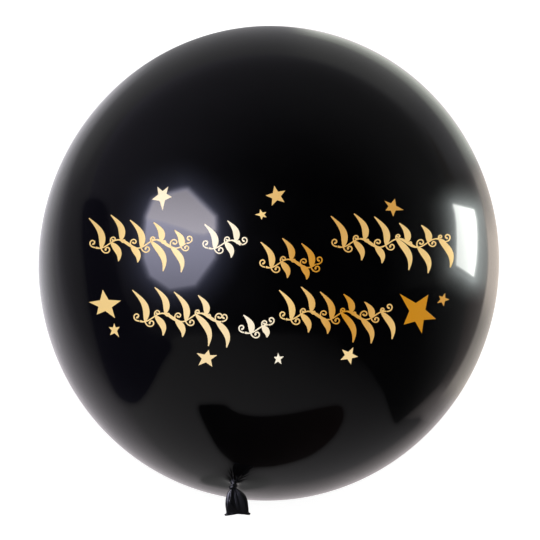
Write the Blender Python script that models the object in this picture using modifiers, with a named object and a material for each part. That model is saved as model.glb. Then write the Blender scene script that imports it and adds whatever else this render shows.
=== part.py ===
# A giant round latex party balloon, blown up and tied off with its own neck.
# It lies on its side on a small flat spot, its neck level and pointing to -Y.
# The origin is the middle of the flat spot, on the floor, with +Z up.
# The whole balloon is one piece of latex, so it is one solid.
import math

import bmesh
import bpy
from mathutils import Euler, Matrix, Vector

# The blown-up body, in metres
EQUATOR_DIAMETER = 0.900
BODY_LENGTH = 0.940
FLAT_SPOT_WIDTH = 0.100
BODY_SEGMENTS = 72
BODY_RINGS = 38

# The cone and the pleats where the skin gathers into the neck
CONE_HEIGHT = 0.014
CONE_SPREAD = 0.016
PLEAT_COUNT = 12
PLEAT_DEPTH = 0.0024
PLEAT_UNEVENNESS = 0.35
PLEAT_UNEVEN_FROM = math.radians(46)
PLEAT_REACH = 0.042
PLEAT_RINGS = 11
FIRST_RING_RADIUS = 0.0035

# The knot: the neck rolled up and wound round itself in crossing bands.
# Each band is its place up the neck, shift to the right, slope up to the right and share of the knot's width.
KNOT_WIDTH = 0.0170
KNOT_LENGTH = 0.0150
KNOT_ROLL = 0.0056
KNOT_SINK = 0.0060
KNOT_TWIST = math.radians(14)
KNOT_BANDS = (
    (0.0044, 0.0002, math.radians(12), 0.90),
    (0.0004, 0.0004, math.radians(-34), 0.96),
    (-0.0046, -0.0014, math.radians(15), 1.00),
)
BAND_POINTS = 18
STEM_RADIUS = 0.0050
STEM_IN_TAIL = 0.0016
STEM_SIDES = 24

# The tail: the open end of the neck, below the knot.
# Each side is its width from the middle, the length over which it opens, and how sudden its shoulder is.
TAIL_LENGTH = 0.049
TAIL_TOP_RADIUS = 0.0039
TAIL_RIGHT_SIDE = (0.0228, 0.0110, 1.5)
TAIL_LEFT_SIDE = (0.0212, 0.0125, 1.0)
TAIL_THICKNESS = 0.0150
TAIL_FULL_BY = 0.3
TAIL_FLATTENING = 1.5
TAIL_NARROWING = 0.0014
TAIL_NARROWS_FROM = 0.6
TAIL_DROOP = math.radians(29)
TAIL_TURN = math.radians(17)
TAIL_SLANT = math.radians(6)
TAIL_SIDES = 48
TAIL_RINGS = 12
TAIL_RING_CROWDING = 1.35
LATEX_WALL = 0.0008
TUBE_RESOLUTION = 2
WELD_DISTANCE = 0.00002

# The rolled lip round the tail's mouth
LIP_WIDTH = 0.0480
LIP_THICKNESS = 0.0120
LIP_BEAD = 0.0038
LIP_WAVE = 0.0010
LIP_FLARES_FROM = 0.86

# Folds of the tail: place round the tail at the knot and at the mouth in degrees, depth, width in degrees.
# 0 degrees is the tail's right edge, 90 its upper face, 180 its left edge and 270 its lower face.
TAIL_FOLDS = (
    (101, 88, 0.0058, 14),
    (57, 44, 0.0044, 14),
    (150, 144, 0.0024, 12),
    (20, 22, 0.0020, 12),
    (236, 226, 0.0036, 15),
    (286, 300, 0.0042, 16),
    (330, 336, 0.0020, 14),
)
FOLD_FADE = 0.80
FOLD_CROWDING = 0.9
FOLD_CROWDING_LENGTH = 0.006
FOLD_DEEPEST_SHARE = 0.36

# Colour and finish
LATEX_COLOUR = (0.006, 0.006, 0.008, 1.0)
LATEX_ROUGHNESS = 0.12
SHARP_EDGE = math.radians(40)

EQUATOR_RADIUS = EQUATOR_DIAMETER / 2
HALF_LENGTH = BODY_LENGTH / 2
FLAT_SPOT_DEPTH = EQUATOR_RADIUS - math.sqrt(EQUATOR_RADIUS**2 - (FLAT_SPOT_WIDTH / 2) ** 2)
AXIS_HEIGHT = EQUATOR_RADIUS - FLAT_SPOT_DEPTH
NECK_START = HALF_LENGTH + CONE_HEIGHT
KNOT_CENTRE = Vector((0, -(NECK_START - KNOT_SINK + KNOT_LENGTH / 2), AXIS_HEIGHT))


def clear_scene():
    for obj in list(bpy.data.objects):
        bpy.data.objects.remove(obj, do_unlink=True)


def make_collection(name):
    collection = bpy.data.collections.new(name)
    bpy.context.scene.collection.children.link(collection)
    return collection


def make_material():
    material = bpy.data.materials.new("black_latex")
    material.use_nodes = True
    shader = material.node_tree.nodes["Principled BSDF"]
    shader.inputs["Base Color"].default_value = LATEX_COLOUR
    shader.inputs["Roughness"].default_value = LATEX_ROUGHNESS
    shader.inputs["Metallic"].default_value = 0.0
    return material


def object_from_bmesh(name, bm, collection):
    mesh = bpy.data.meshes.new(name)
    bm.to_mesh(mesh)
    bm.free()
    mesh.shade_smooth()
    mesh.set_sharp_from_angle(angle=SHARP_EDGE)
    obj = bpy.data.objects.new(name, mesh)
    collection.objects.link(obj)
    return obj


def mesh_from_curve(obj, collection):
    """A curve takes no part in a Boolean, so its tube becomes a welded mesh in the same place."""
    bpy.context.view_layer.update()
    evaluated = obj.evaluated_get(bpy.context.evaluated_depsgraph_get())
    mesh = bpy.data.meshes.new_from_object(evaluated)
    bm = bmesh.new()
    bm.from_mesh(mesh)
    bmesh.ops.remove_doubles(bm, verts=bm.verts[:], dist=WELD_DISTANCE)
    bmesh.ops.recalc_face_normals(bm, faces=bm.faces[:])
    made = object_from_bmesh(obj.name + "_mesh", bm, collection)
    made.matrix_world = obj.matrix_world.copy()
    bpy.data.objects.remove(obj, do_unlink=True)
    return made


def closed_tube(name, points, radius, collection):
    """A round tube whose middle runs through the points and back to the first."""
    curve = bpy.data.curves.new(name, "CURVE")
    curve.dimensions = "3D"
    curve.bevel_depth = radius
    curve.bevel_resolution = TUBE_RESOLUTION
    spline = curve.splines.new("POLY")
    spline.points.add(len(points) - 1)
    for spline_point, place in zip(spline.points, points):
        spline_point.co = (*place, 1.0)
    spline.use_cyclic_u = True
    obj = bpy.data.objects.new(name, curve)
    collection.objects.link(obj)
    return mesh_from_curve(obj, collection)


def ring_angle(ring):
    """Angle of a ring of the body from the neck's line: spread evenly, but crowded where the pleats are."""
    last_pleat_angle = PLEAT_REACH / HALF_LENGTH
    first_angle = FIRST_RING_RADIUS / HALF_LENGTH
    if ring <= 0:
        return 0.0
    if ring <= PLEAT_RINGS:
        share = (ring - 1) / (PLEAT_RINGS - 1)
        return first_angle * (last_pleat_angle / first_angle) ** share
    share = (ring - PLEAT_RINGS) / (BODY_RINGS - PLEAT_RINGS)
    return last_pleat_angle + (math.pi - last_pleat_angle) * share


def body_point(angle, turn):
    """A point of the skin, from its angle to the neck's line and its turn round that line."""
    radius = EQUATOR_RADIUS * HALF_LENGTH / math.hypot(
        EQUATOR_RADIUS * math.cos(angle), HALF_LENGTH * math.sin(angle)
    )
    from_axis = radius * math.sin(angle)
    along = radius * math.cos(angle)
    if along > 0:
        along += CONE_HEIGHT * math.exp(-from_axis / CONE_SPREAD)
        fade = max(0.0, 1 - from_axis / PLEAT_REACH) ** 2
        ripple = math.cos(PLEAT_COUNT * turn)
        ripple += PLEAT_UNEVENNESS * math.cos(PLEAT_COUNT / 2 * turn + PLEAT_UNEVEN_FROM)
        along += PLEAT_DEPTH * fade * ripple * min(1.0, from_axis / STEM_RADIUS)
    return Vector((from_axis * math.cos(turn), -along, AXIS_HEIGHT + from_axis * math.sin(turn)))


def make_body(collection):
    """A sphere with its poles on the neck's line, each vertex moved to the balloon's own skin."""
    bm = bmesh.new()
    bmesh.ops.create_uvsphere(bm, u_segments=BODY_SEGMENTS, v_segments=BODY_RINGS, radius=1)
    for vert in bm.verts:
        even_angle = math.acos(max(-1.0, min(1.0, vert.co.z)))
        ring = round(even_angle / math.pi * BODY_RINGS)
        turn = math.atan2(vert.co.y, vert.co.x)
        vert.co = body_point(ring_angle(ring), turn)
    return object_from_bmesh("balloon", bm, collection)


def knot_frame():
    """Where the knot is, its line halfway between the body's and the tail's, and its twist."""
    lean = Euler((TAIL_DROOP / 2, KNOT_TWIST, TAIL_TURN / 2)).to_matrix().to_4x4()
    return Matrix.Translation(KNOT_CENTRE) @ lean


def make_stem(collection):
    """The twisted neck inside the knot, from under the body's skin to just inside the tail."""
    bm = bmesh.new()
    top = KNOT_LENGTH / 2 + KNOT_ROLL / 2
    bottom = -KNOT_LENGTH / 2 + KNOT_ROLL / 2 - STEM_IN_TAIL
    bmesh.ops.create_cone(
        bm, cap_ends=True, segments=STEM_SIDES, radius1=STEM_RADIUS, radius2=STEM_RADIUS, depth=top - bottom
    )
    stem = object_from_bmesh("stem", bm, collection)
    middle = Matrix.Translation((0, (top + bottom) / 2, 0))
    stem.matrix_world = knot_frame() @ middle @ Matrix.Rotation(math.pi / 2, 4, "X")
    return stem


def make_band(number, collection):
    """One turn of the rolled neck round the stem."""
    place, shift, slope, share = KNOT_BANDS[number]
    radius = (share * KNOT_WIDTH - KNOT_ROLL) / 2
    points = []
    for step in range(BAND_POINTS):
        turn = 2 * math.pi * step / BAND_POINTS
        points.append((radius * math.cos(turn), 0, radius * math.sin(turn)))
    band = closed_tube(f"band_{number + 1}", points, KNOT_ROLL / 2, collection)
    band.matrix_world = knot_frame() @ Matrix.Translation((shift, place, 0)) @ Matrix.Rotation(slope, 4, "Z")
    return band


def tail_frame():
    """The tail hangs from the knot's lower end: its length runs along its own -Y and its flat face is up."""
    lower_end = knot_frame() @ Vector((0, -KNOT_LENGTH / 2 + KNOT_ROLL / 2, 0))
    return Matrix.Translation(lower_end) @ Euler((TAIL_DROOP, 0, TAIL_TURN)).to_matrix().to_4x4()


def angle_between(first, second):
    """Degrees from one place round the tail to another, the short way."""
    return (first - second + 180) % 360 - 180


def side_width(side, share):
    """How far the tail's edge is from its middle line, from the gathered top to the flared mouth."""
    widest, opening_length, suddenness = side
    opened = 1 - math.exp(-((share * TAIL_LENGTH / opening_length) ** suddenness))
    width = TAIL_TOP_RADIUS + (widest - TAIL_TOP_RADIUS) * opened
    width -= TAIL_NARROWING * max(0.0, share - TAIL_NARROWS_FROM) / (1 - TAIL_NARROWS_FROM)
    flared = max(0.0, share - LIP_FLARES_FROM) / (1 - LIP_FLARES_FROM)
    return width + ((LIP_WIDTH - LIP_BEAD) / 2 - width) * flared**2


def tail_thickness(share):
    """The pouch is round in the knot, fullest just below it and flat at the mouth."""
    filled = min(1.0, share / TAIL_FULL_BY)
    flattened = max(0.0, share - TAIL_FULL_BY) / (1 - TAIL_FULL_BY)
    thickness = 2 * TAIL_TOP_RADIUS + (TAIL_THICKNESS - 2 * TAIL_TOP_RADIUS) * filled
    return thickness + (LIP_THICKNESS - LIP_BEAD - thickness) * flattened**TAIL_FLATTENING


def flat_round(width, thickness, degrees):
    """A point of a flat outline with round edges: equal angles are equal steps along each quarter of it."""
    radius = thickness / 2
    straight = max(0.0, width - radius)
    arc = math.pi / 2 * radius
    quarter = (degrees % 90) / 90 if int(degrees // 90) % 2 == 0 else 1 - (degrees % 90) / 90
    distance = quarter * (arc + straight)
    turn = min(distance, arc) / radius
    across = straight + radius * math.cos(turn) - max(0.0, distance - arc)
    right = 1 if degrees % 360 < 90 or degrees % 360 > 270 else -1
    upper = 1 if degrees % 360 < 180 else -1
    return Vector((right * across, 0, upper * radius * math.sin(turn)))


def tail_section(share, degrees):
    """A point of the tail's skin in its own frame: share runs from the knot to the mouth."""
    distance = share * TAIL_LENGTH
    side = TAIL_RIGHT_SIDE if degrees % 360 < 90 or degrees % 360 > 270 else TAIL_LEFT_SIDE
    width = side_width(side, share)
    thickness = tail_thickness(share)
    outward = flat_round(width, thickness, degrees)
    inward = -outward.normalized()
    near_knot = math.exp(-distance / FOLD_CROWDING_LENGTH)
    deepest = FOLD_DEEPEST_SHARE * min(2 * width, thickness)
    for at_knot, at_mouth, depth, spread in TAIL_FOLDS:
        middle = at_knot + (at_mouth - at_knot) * share
        crowded = spread * (1 + FOLD_CROWDING * near_knot)
        near = math.exp(-((angle_between(degrees, middle) / crowded) ** 2))
        fading = math.exp(-((share / FOLD_FADE) ** 2)) * math.sqrt(1 - near_knot)
        outward += inward * min(depth, deepest) * near * fading
    bend = LIP_WAVE * math.cos(2 * math.radians(degrees)) * share
    slant = math.tan(TAIL_SLANT) * outward.x * share
    return Vector((outward.x, -distance - bend - slant, outward.z))


def make_tail(collection):
    """The pouch: a loft from the gathered ring in the knot to the flat mouth, then given the latex's wall."""
    bm = bmesh.new()
    rings = []
    for row in range(TAIL_RINGS + 1):
        share = (row / TAIL_RINGS) ** TAIL_RING_CROWDING
        ring = [
            bm.verts.new(tail_section(share, 360 * side / TAIL_SIDES)) for side in range(TAIL_SIDES)
        ]
        rings.append(ring)
    for upper, lower in zip(rings, rings[1:]):
        for side in range(TAIL_SIDES):
            after = (side + 1) % TAIL_SIDES
            bm.faces.new((upper[side], upper[after], lower[after], lower[side]))
    tail = object_from_bmesh("tail", bm, collection)
    tail.matrix_world = tail_frame()
    wall = tail.modifiers.new("wall", "SOLIDIFY")
    wall.thickness = LATEX_WALL
    wall.offset = -1
    return tail


def make_lip(collection):
    """The rolled bead round the mouth."""
    points = [tail_section(1.0, 360 * side / TAIL_SIDES) for side in range(TAIL_SIDES)]
    lip = closed_tube("lip", points, LIP_BEAD / 2, collection)
    lip.matrix_world = tail_frame()
    return lip


def make_floor_cutter(collection):
    """A block below the floor, which cuts the flat spot."""
    bm = bmesh.new()
    bmesh.ops.create_cube(bm, size=EQUATOR_DIAMETER)
    for vert in bm.verts:
        vert.co.z -= EQUATOR_DIAMETER / 2
    return object_from_bmesh("floor_cutter", bm, collection)


def add_boolean(target, operation, tool):
    tool.hide_render = True
    tool.display_type = "WIRE"
    modifier = target.modifiers.new(tool.name, "BOOLEAN")
    modifier.operation = operation
    modifier.solver = "EXACT"
    modifier.object = tool


def make_neck(collection):
    """The stem, the bands of the knot round it, the tail and its lip, as one closed shape."""
    neck = make_stem(collection)
    for number in range(len(KNOT_BANDS)):
        add_boolean(neck, "UNION", make_band(number, collection))
    add_boolean(neck, "UNION", make_tail(collection))
    add_boolean(neck, "UNION", make_lip(collection))
    return neck


def main():
    clear_scene()
    parts = make_collection("gender_reveal_balloon")
    tools = make_collection("joined_and_cut_shapes")
    balloon = make_body(parts)
    add_boolean(balloon, "UNION", make_neck(tools))
    add_boolean(balloon, "DIFFERENCE", make_floor_cutter(tools))
    balloon.data.materials.append(make_material())


main()
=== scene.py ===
# Gender reveal balloon: a giant black latex balloon on its side, with a gold printed front.
# Metres, +Z up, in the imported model's own frame. Seen from above, as in the photograph.
import math

import bpy
import numpy as np
from mathutils import Euler, Matrix, Vector


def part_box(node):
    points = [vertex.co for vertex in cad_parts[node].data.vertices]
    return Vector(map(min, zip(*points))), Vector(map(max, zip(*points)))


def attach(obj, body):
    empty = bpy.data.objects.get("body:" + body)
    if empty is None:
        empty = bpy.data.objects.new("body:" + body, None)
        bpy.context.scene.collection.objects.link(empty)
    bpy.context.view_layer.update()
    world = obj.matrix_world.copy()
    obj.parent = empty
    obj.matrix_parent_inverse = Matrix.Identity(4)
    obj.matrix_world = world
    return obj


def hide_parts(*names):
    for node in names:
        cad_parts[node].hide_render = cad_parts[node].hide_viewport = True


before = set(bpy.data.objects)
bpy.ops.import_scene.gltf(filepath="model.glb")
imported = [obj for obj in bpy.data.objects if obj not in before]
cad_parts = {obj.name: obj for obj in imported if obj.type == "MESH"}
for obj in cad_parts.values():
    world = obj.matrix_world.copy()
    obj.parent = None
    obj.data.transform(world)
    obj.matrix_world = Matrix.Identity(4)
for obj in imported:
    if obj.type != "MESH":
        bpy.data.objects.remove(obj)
scene = bpy.context.scene
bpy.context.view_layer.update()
low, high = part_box("balloon")
print("frame loaded:", sorted(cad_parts))

# The balloon's main sizes, read from the solid
radius = (high[0] - low[0]) / 2  # of its equator, round the neck's line
halfLength = float(high[1])  # from its middle to its crown
axisHeight = high[2] - radius  # of the neck's line above the floor
middle = np.array([0.0, 0.0, axisHeight])

# The photograph's camera. Pixels are those of the 540 px frame.
view = {
    "azimuth": 7.7,
    "elevation": 58.8,
    "distance": 4.0,
    "frame": 540,
    "middlePixel": (269.0, 262.3),  # where the balloon's middle shows
    "halfWidthPixels": 230.1,  # its half width there
    "sensor": 36.0,
}


def cameraAxes():
    # right, up and back of the camera, from its azimuth and elevation
    a, e = math.radians(view["azimuth"]), math.radians(view["elevation"])
    right = np.array([math.cos(a), math.sin(a), 0.0])
    back = np.array([math.sin(a) * math.cos(e), -math.cos(a) * math.cos(e), math.sin(e)])
    return right, np.cross(back, right), back


camRight, camUp, camBack = cameraAxes()
focalPixels = view["halfWidthPixels"] / math.tan(math.asin(radius / view["distance"]))
offPixels = np.array(view["middlePixel"]) - view["frame"] / 2
metresPerPixel = view["distance"] / focalPixels
camPlace = (
    middle
    + camBack * view["distance"]
    - camRight * offPixels[0] * metresPerPixel
    + camUp * offPixels[1] * metresPerPixel
)


def putInScene(name, data):
    made = bpy.data.objects.new(name, data)
    scene.collection.objects.link(made)
    return made


def facingAsCamera(place):
    turn = Matrix([camRight, camUp, camBack]).transposed().to_4x4()
    return Matrix.Translation(Vector(place)) @ turn


def onceRound(count):
    # evenly spaced angles
    return np.linspace(0, 2 * math.pi, count, endpoint=False)


def makeCamera():
    lens = bpy.data.cameras.new("photoCamera")
    lens.sensor_width = view["sensor"]
    lens.lens = focalPixels * view["sensor"] / view["frame"]
    lens.clip_end = 50
    camera = putInScene("photoCamera", lens)
    camera.matrix_world = facingAsCamera(camPlace)
    scene.camera = camera


makeCamera()
print("camera placed")


def unit(vectors):
    # each vector divided by its length
    return vectors / np.maximum(np.linalg.norm(vectors, axis=-1, keepdims=True), 1e-12)


def skinAtPixel(pixels):
    # the ray through each pixel, met with the ellipsoid x²/r² + y²/h² + z²/r² = 1
    # gives the places there, the outward normals and the rays
    offset = (pixels - view["frame"] / 2) / focalPixels
    ray = unit(offset[..., :1] * camRight - offset[..., 1:] * camUp - camBack)
    axes = np.array([radius, halfLength, radius])
    start, along = (camPlace - middle) / axes, ray / axes
    a = (along * along).sum(-1)
    b = (start * along).sum(-1)
    c = (start * start).sum(-1) - 1
    reach = (-b - np.sqrt(np.maximum(b * b - a * c, 0))) / a
    place = camPlace + reach[..., None] * ray
    return place, unit((place - middle) / axes**2), ray


def straightLoop(corners, steps):
    # a closed outline with evenly spaced points on each straight side
    t = np.linspace(0, 1, steps, endpoint=False)[None, :, None]
    return (corners[:, None] * (1 - t) + np.roll(corners, -1, axis=0)[:, None] * t).reshape(-1, 2)


def smoothLoop(corners, steps):
    # a closed curve through the corners, between two of them a cubic that follows their neighbours' run
    before, after, beyond = (np.roll(corners, -k, axis=0)[:, None] for k in (-1, 1, 2))
    here = corners[:, None]
    t = np.linspace(0, 1, steps, endpoint=False)[None, :, None]
    curve = 2 * here + (after - before) * t + (2 * before - 5 * here + 4 * after - beyond) * t**2
    return ((curve + (3 * here - before - 3 * after + beyond) * t**3) / 2).reshape(-1, 2)


# Meshes

def meshObject(name, vertices, faces, material):
    mesh = bpy.data.meshes.new(name)
    mesh.from_pydata(vertices.tolist(), [], faces)
    mesh.materials.append(material)
    return putInScene(name, mesh)


def meshFrom(name, vertices, quads, triangles, material, slotName):
    # one object at the origin, its faces turned outwards by the sign of the volume they close
    corners = np.concatenate([quads[:, [0, 1, 2]], quads[:, [0, 2, 3]], triangles])
    a, b, c = (vertices[corners[:, k]] for k in range(3))
    if (a * np.cross(b, c)).sum() < 0:
        quads, triangles = quads[:, ::-1], triangles[:, ::-1]
    piece = meshObject(name, vertices, quads.tolist() + triangles.tolist(), material)
    piece.data.shade_smooth()
    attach(piece, "root")
    return piece


def giveValues(piece, key, values):
    # one number at each vertex, for the material
    layer = piece.data.attributes.new(key, "FLOAT", "POINT")
    layer.data.foreach_set("value", np.asarray(values, dtype=np.float32))


def gridQuads(rows, columns, wrapRows):
    # the four corners of each cell of a grid whose columns wrap round
    i = np.arange(rows if wrapRows else rows - 1)[:, None]
    j = np.arange(columns)[None, :]
    nextI, nextJ = (i + 1) % rows, (j + 1) % columns
    cells = [i * columns + j, i * columns + nextJ, nextI * columns + nextJ, nextI * columns + j]
    return np.stack([np.broadcast_to(cell, (i.shape[0], columns)) for cell in cells], -1).reshape(-1, 4)


def fanFaces(first, columns, tip):
    # triangles from a ring of vertices to one vertex
    j = np.arange(columns)
    return np.stack([first + (j + 1) % columns, first + j, np.full(columns, tip)], -1)


def cappedGrid(rings, startPoint, endPoint):
    # rings (rows, columns, 3) closed at both ends by a fan to one point
    rows, columns = rings.shape[:2]
    vertices = np.concatenate([rings.reshape(-1, 3), [startPoint], [endPoint]])
    startFan = fanFaces(0, columns, rows * columns)
    endFan = fanFaces((rows - 1) * columns, columns, rows * columns + 1)[:, [1, 0, 2]]
    return vertices, gridQuads(rows, columns, False), np.concatenate([startFan, endFan])


def wrappedGrid(rings):
    # rings (rows, columns, 3) that join round in both directions, as on a doughnut
    rows, columns = rings.shape[:2]
    return rings.reshape(-1, 3), gridQuads(rows, columns, True), np.zeros((0, 3), int)


def joined(parts):
    # several closed surfaces as one list of vertices and faces
    vertices, quads, triangles, count = [], [], [], 0
    for part in parts:
        vertices.append(part[0])
        quads.append(part[1] + count)
        triangles.append(part[2] + count)
        count += len(part[0])
    return np.concatenate(vertices), np.concatenate(quads), np.concatenate(triangles)


# Materials

def fromHex(colour):
    # "#RRGGBB" in sRGB to linear red, green, blue and alpha
    values = [int(colour[k : k + 2], 16) / 255 for k in (1, 3, 5)]
    linear = [v / 12.92 if v <= 0.04045 else ((v + 0.055) / 1.055) ** 2.4 for v in values]
    return (*linear, 1.0)


def addNode(tree, kind, inputs=None, **settings):
    # a shader node with its settings; an input is a value or the socket that feeds it
    made = tree.nodes.new("ShaderNode" + kind)
    for key, value in settings.items():
        setattr(made, key, value)
    for key, value in (inputs or {}).items():
        if isinstance(value, bpy.types.NodeSocket):
            tree.links.new(value, made.inputs[key])
        else:
            made.inputs[key].default_value = value
    return made


def rampAlong(tree, value, stops):
    # colours or grey levels along a value, evenly between the listed ones
    longest = stops[-1][0]
    share = addNode(tree, "MapRange", {"Value": value, "From Max": longest}).outputs["Result"]
    ramp = addNode(tree, "ValToRGB", {"Fac": share})
    elements = ramp.color_ramp.elements
    colours = [fromHex(stop) if isinstance(stop, str) else (stop, stop, stop, 1) for _, stop in stops]
    elements[0].color = colours[0]
    elements[1].color = colours[-1]
    for (at, _), colour in zip(stops[1:-1], colours[1:-1]):
        elements.new(at / longest).color = colour
    return ramp.outputs["Color"]


def tintAlong(tree, value, tints, start=0.0, end=1.0):
    # a tint that turns from the first one to the second along a value
    share = addNode(tree, "MapRange", {"Value": value, "From Min": start, "From Max": end})
    ends = {"Factor": share.outputs["Result"], "A": fromHex(tints[0]), "B": fromHex(tints[1])}
    return addNode(tree, "Mix", ends, data_type="RGBA").outputs["Result"]


def newMaterial(name):
    material = bpy.data.materials.new(name)
    material.use_nodes = True
    material.node_tree.nodes.clear()
    return material, material.node_tree


def finishMaterial(tree, values, colour, haze, height):
    # one shader with fixed values, a roughness that changes along the haze, and fine relief from a height
    rough = addNode(tree, "MapRange", {"Value": haze, **values["roughness"]}).outputs["Result"]
    relief = {"Height": height, "Distance": values["relief"], "Strength": 1.0}
    bump = addNode(tree, "Bump", relief).outputs["Normal"]
    inputs = {**values["finish"], "Base Color": colour, "Roughness": rough, "Normal": bump}
    shader = addNode(tree, "BsdfPrincipled", inputs).outputs["BSDF"]
    addNode(tree, "OutputMaterial", {"Surface": shader})


stretchedLatex = {
    "colours": ("#010102", "#030304"),  # the rubber, and faint powder left on it
    "mottle": {"Scale": 1 / 0.060, "Detail": 3.0},  # thick and thin patches of the dipped rubber
    "roughness": {"From Min": 0.3, "From Max": 0.7, "To Min": 0.27, "To Max": 0.36},
    "grain": {"Scale": 1 / 0.0030, "Detail": 2.0},
    "relief": 0.000012,
    "finish": {"IOR": 1.5, "Specular IOR Level": 0.04, "Coat Weight": 1.0, "Coat Roughness": 0.05,
               "Coat IOR": 1.5},
}


def makeStretchedLatex():
    # black latex rubber, dipped and blown up tight: a deep black mirror with a soft haze round each light
    m = stretchedLatex
    material, tree = newMaterial("blackLatexStretched")
    place = addNode(tree, "TexCoord").outputs["Object"]
    mottle = addNode(tree, "TexNoise", {"Vector": place, **m["mottle"]}).outputs["Fac"]
    grain = addNode(tree, "TexNoise", {"Vector": place, **m["grain"]}).outputs["Fac"]
    finishMaterial(tree, m, tintAlong(tree, mottle, m["colours"]), mottle, grain)
    return material


slackLatex = {
    "colours": ("#050507", "#0B0B0E"),  # the rubber, and lighter where its fine wrinkles stand highest
    "stretch": (1.0, 0.35, 1.0),  # the wrinkles are longer along the neck
    "wrinkles": {"Scale": 1 / 0.0022, "Detail": 3.0, "Distortion": 0.4},
    "roughness": {"To Min": 0.30, "To Max": 0.42},
    "relief": 0.00012,
    "finish": {"IOR": 1.5, "Specular IOR Level": 0.40, "Coat Weight": 0.45, "Coat Roughness": 0.14},
}


def makeSlackLatex():
    # the same latex where it isn't stretched, in the knot and the tail: satin, thick and finely wrinkled
    m = slackLatex
    material, tree = newMaterial("blackLatexSlack")
    place = addNode(tree, "TexCoord").outputs["Object"]
    along = addNode(tree, "Mapping", {"Vector": place, "Scale": m["stretch"]}).outputs["Vector"]
    wrinkle = addNode(tree, "TexNoise", {"Vector": along, **m["wrinkles"]}).outputs["Fac"]
    # the colour follows the same noise as the wrinkles' height: lighter on their crests, darker in their
    # grooves
    finishMaterial(tree, m, tintAlong(tree, wrinkle, m["colours"]), wrinkle, wrinkle)
    return material


goldInk = {
    # painted highlight: cream and pale gold stand for light and sheen on the ink, deep gold is its own
    # colour
    "paintedLightTones": ((0.0, "#FAF1DC"), (0.42, "#F3D08A"), (1.0, "#C8860A")),  # cream, pale gold, deep gold
    "flakes": {"Scale": 1 / 0.0009, "Detail": 2.0},
    "roughness": {"To Min": 0.36, "To Max": 0.48},
    "relief": 0.00002,
    "finish": {"Metallic": 0.08, "Specular IOR Level": 0.16},
}


def makeGoldInk():
    # screen printed ink with metal flake: satin gold. Its own colour is deep gold; the paler gold and cream,
    # set per vertex by the painted light tone, are painted highlight where light and sheen fall on it
    m = goldInk
    material, tree = newMaterial("goldFlakeInk")
    place = addNode(tree, "TexCoord").outputs["Object"]
    paintedLightTone = addNode(tree, "Attribute", attribute_name="paintedLightTone").outputs["Fac"]
    flake = addNode(tree, "TexNoise", {"Vector": place, **m["flakes"]}).outputs["Fac"]
    finishMaterial(tree, m, rampAlong(tree, paintedLightTone, m["paintedLightTones"]), flake, flake)
    return material


stretched = makeStretchedLatex()
slack = makeSlackLatex()
gold = makeGoldInk()
print("materials made")

# The skin of the body, in the part's own sizes
skin = {
    "coneHeight": 0.014,
    "coneSpread": 0.016,
    "pleats": 12,
    "pleatDepth": 0.0024,
    "pleatUnevenness": 0.35,
    "unevenFrom": math.radians(46),
    "pleatReach": 0.028,
    "firstRing": 0.0035 / 3,
    "stemRadius": 0.0050,
    "pleatSharpness": 0.75,  # under 1, a pleat's crests and valleys are crisper than a cosine
    "stretchLines": 31,
    "stretchLineDepth": 0.00022,
    "stretchLineReach": 0.055,
    "stretchLineWander": 1.3,
    "around": 360,
    "closeReach": 1.6,  # the rings lie close together this many times as far out as the pleats reach
    "ringsInPleats": 60,
    "ringsBeyond": 150,
}


def crisp(wave, sharpness):
    # a wave between -1 and 1, its slopes steepened by a power
    return np.sign(wave) * np.abs(wave) ** sharpness


def skinSurface(angle, turn):
    # an ellipse turned round the neck's line, angle from the neck; near it a cone rises by a falling
    # exponential, and its height ripples round the neck by cosines that fade with the distance from it
    s = skin
    reach = radius * halfLength / np.hypot(radius * np.cos(angle), halfLength * np.sin(angle))
    out = reach * np.sin(angle)
    along = reach * np.cos(angle)
    near = along > 0
    along = along + near * s["coneHeight"] * np.exp(-out / s["coneSpread"])
    fromStem = out / s["stemRadius"]
    fade = np.maximum(0, 1 - out / s["pleatReach"]) ** 2 * np.minimum(1, fromStem)
    ripple = crisp(np.cos(s["pleats"] * turn), s["pleatSharpness"])
    ripple = ripple + s["pleatUnevenness"] * np.cos(s["pleats"] / 2 * turn + s["unevenFrom"])
    lineFade = np.maximum(0, 1 - out / s["stretchLineReach"]) ** 2 * np.minimum(1, fromStem / 2)
    lines = np.cos(s["stretchLines"] * turn + s["stretchLineWander"] * np.sin(3 * turn))
    along = along + near * (s["pleatDepth"] * fade * ripple + s["stretchLineDepth"] * lineFade * lines)
    height = np.maximum(axisHeight + out * np.sin(turn), 0.0)  # the flat spot
    return np.stack(np.broadcast_arrays(out * np.cos(turn), -along, height), -1)


def makeSkin():
    s = skin
    first, last = s["firstRing"] / halfLength, s["pleatReach"] * s["closeReach"] / halfLength
    close = np.geomspace(first, last, s["ringsInPleats"])
    beyond = np.linspace(last, math.pi, s["ringsBeyond"] + 1)[1:-1]
    angle = np.concatenate([close, beyond])[:, None]
    turn = onceRound(s["around"])
    rings = skinSurface(angle, turn)
    tip = np.array([0.0, rings[0, :, 1].mean(), axisHeight])
    crown = np.array([0.0, halfLength, axisHeight])
    piece = meshFrom("balloon_skin", *cappedGrid(rings, tip, crown), stretched, "black_latex")
    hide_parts("balloon")


makeSkin()
print("skin made")

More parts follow.
